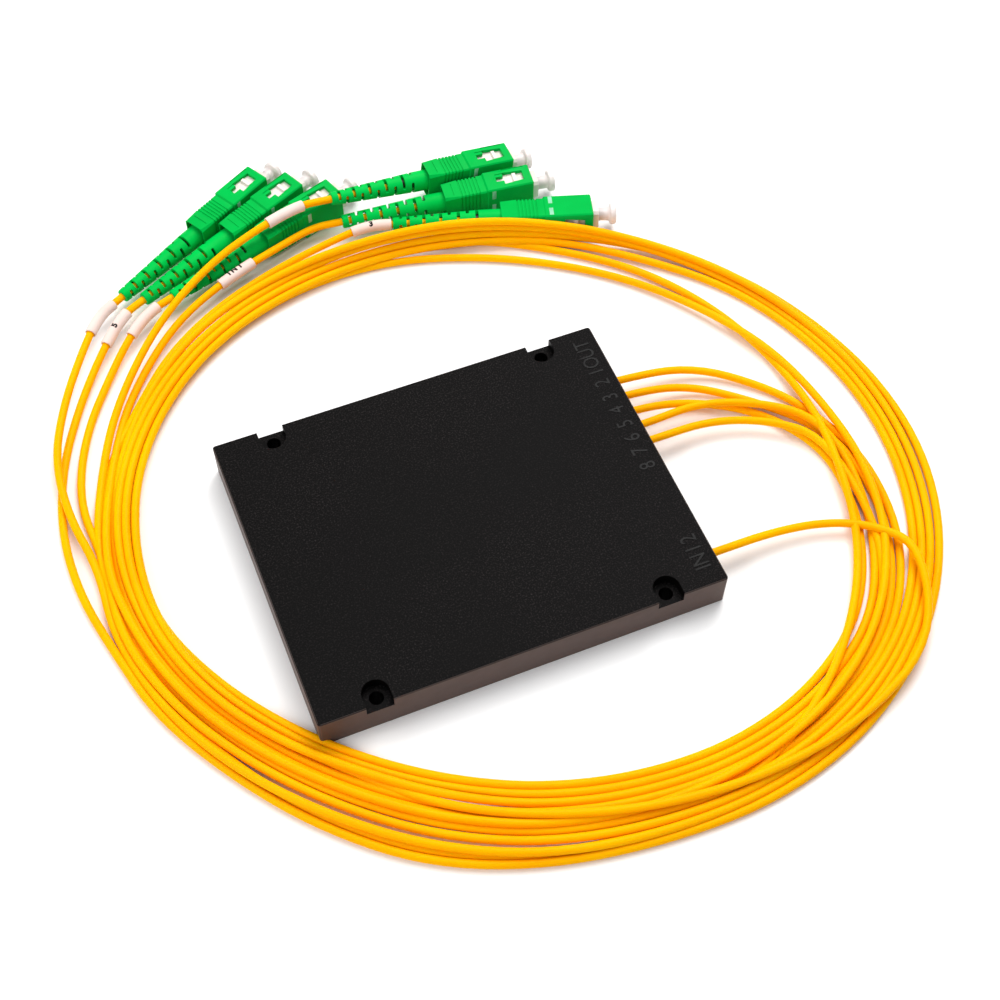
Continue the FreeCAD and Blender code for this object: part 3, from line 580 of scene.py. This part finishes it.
def neighbours(samples, owner):  # each sample with the short steps of cord that may touch it soon
    tree = KDTree(len(samples))
    for i, place in enumerate(samples):
        tree.insert(place, i)
    tree.balance()
    along = np.concatenate([[0.0], np.cumsum(np.linalg.norm(np.diff(samples, axis=0), axis=1))])
    pairs = []
    for i, place in enumerate(samples):
        for _, j, _ in tree.find_range(place, settling["searchReach"]):
            isStep = j + 1 < len(samples) and owner[j] == owner[j + 1]
            isOwnStretch = owner[i] == owner[j] and abs(along[i] - along[j]) < settling["ownGap"]
            if isStep and not isOwnStretch:
                pairs.append((i, j))
    return np.array(pairs)


def pressApart(samples, rank, pairs):  # how each sample moves away from the cords that it touches
    diameter = 2 * jacket["radius"]
    i, j = pairs.T
    start, step = samples[j], samples[j + 1] - samples[j]
    share = np.clip(((samples[i] - start) * step).sum(1) / (step * step).sum(1), 0, 1)
    apart = samples[i] - (start + share[:, None] * step)
    gap = np.linalg.norm(apart, axis=1)
    close = gap < diameter
    i, j, apart, gap, share = i[close], j[close], apart[close], gap[close], share[close]
    over = np.sign(rank[i] - rank[j])
    sideways = np.hypot(apart[:, 0], apart[:, 1])
    wrong = (apart[:, 2] * over < settling["swapBelow"]) & (sideways < settling["swapWithin"] * diameter / 2)
    direction = apart / np.maximum(gap, 1e-6)[:, None]
    direction[wrong] = np.stack([np.zeros(wrong.sum()), np.zeros(wrong.sum()), over[wrong]], 1)
    push = 0.5 * (diameter - gap)[:, None] * direction
    moved = np.zeros_like(samples)
    count = np.zeros(len(samples))
    np.add.at(moved, i, push)
    np.add.at(count, i, 1)
    for ends, part in ((j, 1 - share), (j + 1, share)):
        np.add.at(moved, ends, -push * part[:, None])
        np.add.at(count, ends, part)
    moved /= np.maximum(count, 1)[:, None]
    return moved, (diameter - gap).max() if len(gap) else 0.0


def offConnectors(samples, middles, widths):  # how each sample moves out of the connectors
    away = samples[:, None, :] - middles[None]
    far = np.linalg.norm(away, axis=2)
    inside = np.maximum(widths[None] + jacket["radius"] - far, 0) * (far < settling["connectorReach"])
    return (away / far[..., None] * inside[..., None]).sum(1) * settling["connectorPush"]


def settleCords(laid):  # the free points sink until each cord lies on the floor or on those laid before it
    middles = np.array([onAxis(name, x) for name in cordNames for x, _ in leaningWidths])
    widths = np.array([radius for _ in cordNames for _, radius in leaningWidths])
    owner = np.concatenate([[i] * len(laid[n]["weights"]) for i, n in enumerate(cordNames)])
    rank = np.concatenate([laid[n]["weights"] @ laid[n]["rank"] for n in cordNames])
    for turn in range(settling["rounds"]):
        for name in cordNames:
            sink(laid[name])
        samples = np.vstack([laid[n]["weights"] @ laid[n]["points"] for n in cordNames])
        if turn % settling["searchEvery"] == 0:
            pairs = neighbours(samples, owner)
        moved, deepest = pressApart(samples, rank, pairs)
        moved += offConnectors(samples, middles, widths)
        moved[:, 2] += np.maximum(jacket["radius"] - (samples[:, 2] + moved[:, 2]), 0)
        first = 0
        for name in cordNames:
            points, free, weights = (laid[name][k] for k in ("points", "free", "weights"))
            mine = moved[first:first + len(weights)]
            first += len(weights)
            shift = (weights.T @ mine) / np.maximum(weights.sum(0), 1e-6)[:, None] * settling["spread"]
            points[free] += shift[free]
            points[:, 2] = np.maximum(points[:, 2], jacket["radius"])
    print("cords settled, deepest press", round(float(deepest), 2), "mm, height",
          round(float(samples[:, 2].max()), 1))


def smoothLine(points, name):
    data = bpy.data.curves.new(name, "CURVE")
    data.dimensions = "3D"
    data.resolution_u = jacket["perSpan"]
    data.bevel_depth = jacket["radius"] * mm
    data.bevel_resolution = jacket["roundness"]
    data.use_fill_caps = True
    spline = data.splines.new("NURBS")
    spline.points.add(len(points) - 1)
    for point, place in zip(spline.points, points):
        point.co = (*place, 1.0)
    spline.order_u = 3
    spline.use_endpoint_u = True
    obj = bpy.data.objects.new(name, data)
    bpy.context.scene.collection.objects.link(obj)
    return obj


def finishedMesh(obj):  # the mesh that an object ends as; the object itself goes
    mesh = bpy.data.meshes.new_from_object(obj.evaluated_get(bpy.context.evaluated_depsgraph_get()))
    bpy.data.objects.remove(obj)
    return mesh


def readLine(piece):  # points along a cord's own spline, mm
    data = piece.data.copy()
    data.bevel_depth = 0.0
    data.resolution_u = jacket["readPerSpan"]
    bare = bpy.data.objects.new("bareLine", data)
    bpy.context.scene.collection.objects.link(bare)
    mesh = finishedMesh(bare)
    line = np.array([v.co for v in mesh.vertices]) / mm
    bpy.data.meshes.remove(mesh)
    bpy.data.curves.remove(data)
    return line


laid = {name: layCord(name, number) for number, name in enumerate(cordNames)}
settleCords(laid)
cordLines = {}
for name in cordNames:
    piece = smoothLine(laid[name]["points"] * mm, "fibreCord_" + name)
    piece.data.materials.append(finishes["cord_yellow"])
    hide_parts("cord_" + name, "cord_coil")
    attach(piece, "box_and_cords")
    cordLines[name] = readLine(piece)
    steps = np.linalg.norm(np.diff(cordLines[name], axis=0), axis=1)
    highest = cordLines[name][:, 2].max()
    print(name, "cord length", round(float(steps.sum()), 1), "highest", round(float(highest), 1))


# moulded pieces keep their solid's shape and get rounded edges: the edges' radius in m, angles in degrees
rounding = {"box": 0.00016, "grip": 0.00014, "boot": 0.00007, "plug_frame": 0.00008}
softening = {"weld": 0.000002, "flat": 1.0, "sharp": 28.0, "segments": 2}


def newPiece(bm, name, finish, slot, body, *replaced):
    mesh = bpy.data.meshes.new(name)
    bm.to_mesh(mesh)
    bm.free()
    mesh.polygons.foreach_set("use_smooth", [True] * len(mesh.polygons))
    mesh.set_sharp_from_angle(angle=math.radians(softening["sharp"]))
    mesh.materials.append(finish)
    piece = bpy.data.objects.new(name, mesh)
    bpy.context.scene.collection.objects.link(piece)
    if replaced:
        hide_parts(*replaced)
    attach(piece, body)
    return piece


def cleanMesh(mesh):  # a solid's loose triangles joined into its plain faces
    bm = bmesh.new()
    bm.from_mesh(mesh)
    bmesh.ops.remove_doubles(bm, verts=bm.verts, dist=softening["weld"])
    bmesh.ops.dissolve_limit(bm, angle_limit=math.radians(softening["flat"]), verts=bm.verts, edges=bm.edges)
    return bm


def roundEdges(piece, width):
    bevel = piece.modifiers.new("roundedEdges", "BEVEL")
    bevel.width = width
    bevel.segments = softening["segments"]
    bevel.limit_method = "ANGLE"
    bevel.angle_limit = math.radians(softening["sharp"])
    bevel.miter_outer = "MITER_ARC"
    bevel.harden_normals = True


def roundedCopy(node, name, width, body):
    piece = newPiece(cleanMesh(nodes[node].data), name, finishes[slotOf[node]], slotOf[node], body, node)
    roundEdges(piece, width)


roundedCopy("housing", "boxShell", rounding["box"], "box_and_cords")
for name in cordNames:
    roundedCopy("grip_" + name, "outerGrip_" + name, rounding["grip"], "grip_" + name)
    roundedCopy("plug_frame_" + name, "innerFrame_" + name, rounding["plug_frame"], "box_and_cords")
print("box, grips and frames rounded")


def inOrder(bm):  # operators may leave points and faces in another order at each run
    for number, v in enumerate(sorted(bm.verts, key=lambda v: v.co[:])):
        v.index = number
    for number, f in enumerate(sorted(bm.faces, key=lambda f: f.calc_center_median()[:])):
        f.index = number
    bm.verts.sort()
    bm.faces.sort()
    return bm


def turned(outline, steps, toWorld):
    bm = bmesh.new()
    ring = [bm.verts.new((x * mm, 0, radius * mm)) for x, radius in outline]
    edges = [bm.edges.new(pair) for pair in zip(ring, ring[1:])]
    bmesh.ops.spin(bm, geom=ring + edges, axis=(1, 0, 0), cent=(0, 0, 0), angle=math.tau, steps=steps,
                   use_merge=True)
    inOrder(bm)
    bmesh.ops.remove_doubles(bm, verts=bm.verts, dist=softening["weld"])
    bmesh.ops.recalc_face_normals(bm, faces=bm.faces)
    bmesh.ops.transform(bm, matrix=toWorld, verts=bm.verts)
    return inOrder(bm)


# boots, mm: half outline as (distance along the axis, radius), and wedge slots cut from both sides by turns.
# Each boot is turned by "turn" degrees, and its slots and rear end lie "slide" nearer to the grip
boot = {
    "front": [(0.9, 2.75), (-3.4, 2.75)],
    "rear": [(-4.8, 2.74), (-27.95, 1.81), (-28.22, 1.72), (-28.30, 1.56), (-28.30, 1.06), (-27.4, 1.06),
             (-27.2, 1.32)],
    "socket": [(-7.0, 1.34), (-7.0, 1.66), (0.5, 1.66), (0.5, 2.65), (0.9, 2.65)],
    "turns": 72,
    "slots": 10, "firstSlot": -5.5, "frontPitch": 2.55, "rearPitch": 2.05,
    "slotWidth": 0.86, "slotHalfAngle": 62.0, "slotFrom": 0.6, "slotTo": 4.2, "slotEndRound": 0.33,
    "turn": {"out_1": 100, "out_2": 72, "out_3": 33, "out_4": 20, "out_5": 2, "in_1": 43},
    "slide": {"out_1": 1.0, "out_2": -1.0, "out_3": -1.0, "out_4": 1.2, "out_5": -1.0, "in_1": 0.0},
}


def slotCutters(slide):
    bm = bmesh.new()
    closing = (boot["frontPitch"] - boot["rearPitch"]) / (boot["slots"] - 2)
    spread = math.tan(math.radians(boot["slotHalfAngle"]))
    near, far = boot["slotFrom"], boot["slotTo"]
    block = Matrix.Diagonal((boot["slotWidth"] * mm, (far - near) * mm, mm, 1))
    x = boot["firstSlot"] + slide
    for index in range(boot["slots"]):
        for side in (0, 180):
            made = bmesh.ops.create_cube(bm, size=1.0)["verts"]
            for distance in (near, far):
                level = [v for v in made if (v.co.y > 0) == (distance == far)]
                bmesh.ops.scale(bm, vec=(1, 1, 2 * spread * distance), verts=level)
            ends = [e for e in bm.edges
                    if all(v in made for v in e.verts) and e.verts[0].co.y * e.verts[1].co.y < 0]
            facing = Matrix.Rotation(math.radians(90 * (index % 2) + side), 4, "X")
            place = Matrix.Translation((x * mm, (near + far) / 2 * mm, 0))
            bmesh.ops.transform(bm, verts=made, matrix=facing @ place @ block)
            bmesh.ops.bevel(bm, geom=ends, offset=boot["slotEndRound"] * mm, affect="EDGES", segments=4,
                            profile=0.5, material=-1)
        x -= boot["frontPitch"] - closing * index
    return inOrder(bm)


def bootMesh(slide):
    rear = [(x + slide, radius) for x, radius in boot["rear"]]
    outline = boot["front"] + rear + boot["socket"] + boot["front"][:1]
    pair = []
    for bm in (turned(outline, boot["turns"], Matrix()), slotCutters(slide)):
        mesh = bpy.data.meshes.new("bootPart")
        bm.to_mesh(mesh)
        bm.free()
        pair.append(bpy.data.objects.new("bootPart", mesh))
        bpy.context.scene.collection.objects.link(pair[-1])
    body, cutters = pair
    cut = body.modifiers.new("slots", "BOOLEAN")
    cut.operation = "DIFFERENCE"
    cut.solver = "EXACT"
    cut.object = cutters
    mesh = finishedMesh(body)
    bpy.data.objects.remove(cutters)
    return mesh


for name in cordNames:
    bm = cleanMesh(bootMesh(boot["slide"][name]))
    own = Matrix.Rotation(math.radians(boot["turn"][name]), 4, "X")
    bmesh.ops.transform(bm, matrix=plugMatrix(name) @ own, verts=bm.verts)
    piece = newPiece(bm, "slottedBoot_" + name, finishes["boot_green"], "boot_green", "box_and_cords",
                     "boot_" + name)
    roundEdges(piece, rounding["boot"])
print("boots cut")


# dust caps: half outline as (distance along the axis, radius), mm
cap = {
    "outline": [(28.0, 0.0), (28.0, 1.30), (23.0, 1.30), (23.0, 1.32), (22.9, 1.45), (22.9, 1.68),
                (23.05, 1.76), (28.6, 1.80), (29.2, 1.86), (29.5, 2.04), (29.62, 2.42), (29.72, 2.72),
                (29.92, 2.88), (30.5, 2.93), (31.0, 2.88), (31.25, 2.70), (31.36, 2.40), (31.36, 1.60),
                (31.30, 0.0)],
    "turns": 48,
}
for name in cordNames:
    newPiece(turned(cap["outline"], cap["turns"], plugMatrix(name)), "dustCap_" + name, finishes["cap_clear"],
             "cap_clear", "dust_cap_" + name, "dust_cap_" + name)
print("dust caps turned")


# two plain pale bars on the side of each grip, mm in the connector's own frame
bars = {"from": 13.0, "width": 1.1, "height": 3.0, "gap": 2.0, "rise": 0.04, "side": -3.65}
for name in cordNames:
    bm = bmesh.new()
    block = Matrix.Diagonal((bars["width"] * mm, 2 * bars["rise"] * mm, bars["height"] * mm, 1))
    for side in (-1, 1):
        made = bmesh.ops.create_cube(bm, size=1.0)["verts"]
        x = bars["from"] + bars["width"] / 2
        z = side * (bars["height"] + bars["gap"]) / 2
        place = Matrix.Translation((x * mm, bars["side"] * mm, z * mm))
        bmesh.ops.transform(bm, matrix=plugMatrix(name) @ place @ block, verts=made)
    bmesh.ops.bevel(bm, geom=list(bm.edges), offset=bars["rise"] * mm * 0.5, affect="EDGES", segments=2,
                    profile=0.5, material=-1)
    newPiece(bm, "gripBars_" + name, finishes["barPale"], "frame_white", "grip_" + name)
print("grip bars laid")


# raised lettering along the outlet side of the lid: character and its place along the side, mm
lettering = {
    "marks": [("I", -35.2), ("N", -33.0), ("1", -29.8), ("2", -27.0), ("8", -4.5), ("7", 0.0), ("6", 4.3),
              ("5", 8.7), ("4", 13.3), ("3", 17.5), ("2", 22.2), ("1", 25.9), ("O", 29.0), ("U", 32.1),
              ("T", 35.0)],
    "baseline": 47.6, "height": 4.0, "rise": 0.16, "lid": 10.0, "narrow": 0.78, "round": 0.03,
    "capHeight": 0.70,  # a capital's height as a share of the font's size
}


def textMesh(characters, height, depth, edge, weight=0.0):
    data = bpy.data.curves.new("mark", "FONT")
    data.body = characters
    data.align_x = "CENTER"
    data.size = height / lettering["capHeight"]
    data.extrude = depth / 2
    data.bevel_depth = edge
    data.resolution_u = 6
    data.offset = weight
    obj = bpy.data.objects.new("mark", data)
    bpy.context.scene.collection.objects.link(obj)
    return finishedMesh(obj)


def letterOnLid():
    bm = bmesh.new()
    for character, y in lettering["marks"]:
        before = set(bm.verts)
        mesh = textMesh(character, lettering["height"] * mm, lettering["rise"] * mm, lettering["round"] * mm)
        bm.from_mesh(mesh)
        new = [v for v in bm.verts if v not in before]
        place = (Matrix.Translation((lettering["baseline"] * mm, y * mm, lettering["lid"] * mm))
                 @ Matrix.Rotation(math.radians(90), 4, "Z")
                 @ Matrix.Diagonal((lettering["narrow"], 1, 1, 1)))
        bmesh.ops.transform(bm, matrix=place, verts=new)
        bpy.data.meshes.remove(mesh)
    bmesh.ops.remove_doubles(bm, verts=bm.verts, dist=softening["weld"])
    bmesh.ops.recalc_face_normals(bm, faces=bm.faces)
    newPiece(bm, "lidLettering", finishes["lettering"], "box_black", "box_and_cords")


letterOnLid()
print("lettering raised")


# label sleeves lie on their cords, mm: where each ends behind its boot, what it says, and the degrees that
# the print is turned round it
sleeve = {
    "length": 11.0, "outer": 1.5, "wall": 0.35, "rounding": 0.08, "sides": 32, "rings": 12,
    "textHeight": 1.5, "textLift": 0.02, "strips": 6, "weight": 0.13,
}
labels = {
    "out_1": {"behind": 2.2, "text": "1", "turn": 290},
    "out_2": {"behind": 5.7, "text": "2", "turn": 290},
    "out_3": {"behind": 1.3, "text": "3", "turn": 100},
    "out_4": {"behind": 6.7, "text": "4", "turn": 290},
    "out_5": {"behind": 6.7, "text": "5", "turn": 90},
    "in_1": {"behind": 27.7, "text": "I N 1", "turn": 72},
}


def stretchOf(name, start, end, steps):  # evenly spaced points of a cord, counted back from its boot
    line = cordLines[name]
    last = int(np.argmin(np.linalg.norm(line - np.array(onAxis(name, bootRear)), axis=1)))
    line = line[:last + 1]
    distance = np.concatenate([[0.0], np.cumsum(np.linalg.norm(np.diff(line, axis=0), axis=1))])
    at = np.linspace(distance[-1] - end, distance[-1] - start, steps)
    return np.stack([np.interp(at, distance, line[:, k]) for k in range(3)], 1)


def ringPlaces(points):  # a frame at each point: sideways, upwards and forwards along the line
    places = []
    for index, point in enumerate(points):
        low, high = max(index - 1, 0), min(index + 1, len(points) - 1)
        forward = Vector(points[high] - points[low]).normalized()
        side = Vector((0, 0, 1)).cross(forward).normalized()
        turn = Matrix((side, forward.cross(side), forward)).transposed().to_4x4()
        places.append(Matrix.Translation(Vector(point) * mm) @ turn)
    return places


def sleeveShell(places):
    bm = bmesh.new()
    bmesh.ops.create_circle(bm, segments=sleeve["sides"], radius=sleeve["outer"] * mm, matrix=places[0])
    ring = list(bm.edges)
    for last, place in zip(places, places[1:]):
        made = bmesh.ops.extrude_edge_only(bm, edges=ring)["geom"]
        ring = [e for e in made if isinstance(e, bmesh.types.BMEdge) and all(v in made for v in e.verts)]
        verts = {v for e in ring for v in e.verts}
        bmesh.ops.transform(bm, matrix=place @ last.inverted(), verts=list(verts))
    bmesh.ops.recalc_face_normals(bm, faces=bm.faces)
    return inOrder(bm)


def printOnSleeve(name, places):  # flat letters cut into strips, then wrapped round the sleeve
    height = sleeve["textHeight"] * mm
    mesh = textMesh(labels[name]["text"], height, 0.0, 0.0, sleeve["weight"] * mm)
    bm = bmesh.new()
    bm.from_mesh(mesh)
    bpy.data.meshes.remove(mesh)
    bmesh.ops.remove_doubles(bm, verts=bm.verts, dist=softening["weld"])
    for strip in range(1, sleeve["strips"]):
        level = strip / sleeve["strips"] * sleeve["textHeight"] * mm
        bmesh.ops.bisect_plane(bm, geom=[*bm.verts, *bm.edges, *bm.faces], plane_co=(0, level, 0),
                               plane_no=(0, 1, 0))
    reach = (sleeve["outer"] + sleeve["textLift"]) * mm
    stations = len(places) - 1
    for v in bm.verts:
        along = 0.5 + v.co.x / (sleeve["length"] * mm)
        station = min(int(along * stations), stations - 1)
        turn = math.radians(labels[name]["turn"]) - (v.co.y - height / 2) / reach
        place = places[station].lerp(places[station + 1], along * stations - station)
        v.co = place @ Vector((reach * math.cos(turn), reach * math.sin(turn), 0))
    newPiece(bm, "labelPrint_" + name, finishes["print"], "comb_black", "box_and_cords")


for name in cordNames:
    behind = labels[name]["behind"]
    places = ringPlaces(stretchOf(name, behind, behind + sleeve["length"], sleeve["rings"]))
    piece = newPiece(sleeveShell(places), "labelSleeve_" + name, finishes["label_white"], "label_white",
                     "box_and_cords", "label_sleeve_" + name)
    wall = piece.modifiers.new("wall", "SOLIDIFY")
    wall.thickness = sleeve["wall"] * mm
    wall.offset = -1.0
    edge = piece.modifiers.new("edge", "BEVEL")
    edge.width = sleeve["rounding"] * mm
    edge.segments = 2
    edge.limit_method = "ANGLE"
    printOnSleeve(name, places)
print("label sleeves slid on")


for name in cordNames:
    piece = bpy.data.objects["fibreCord_" + name]
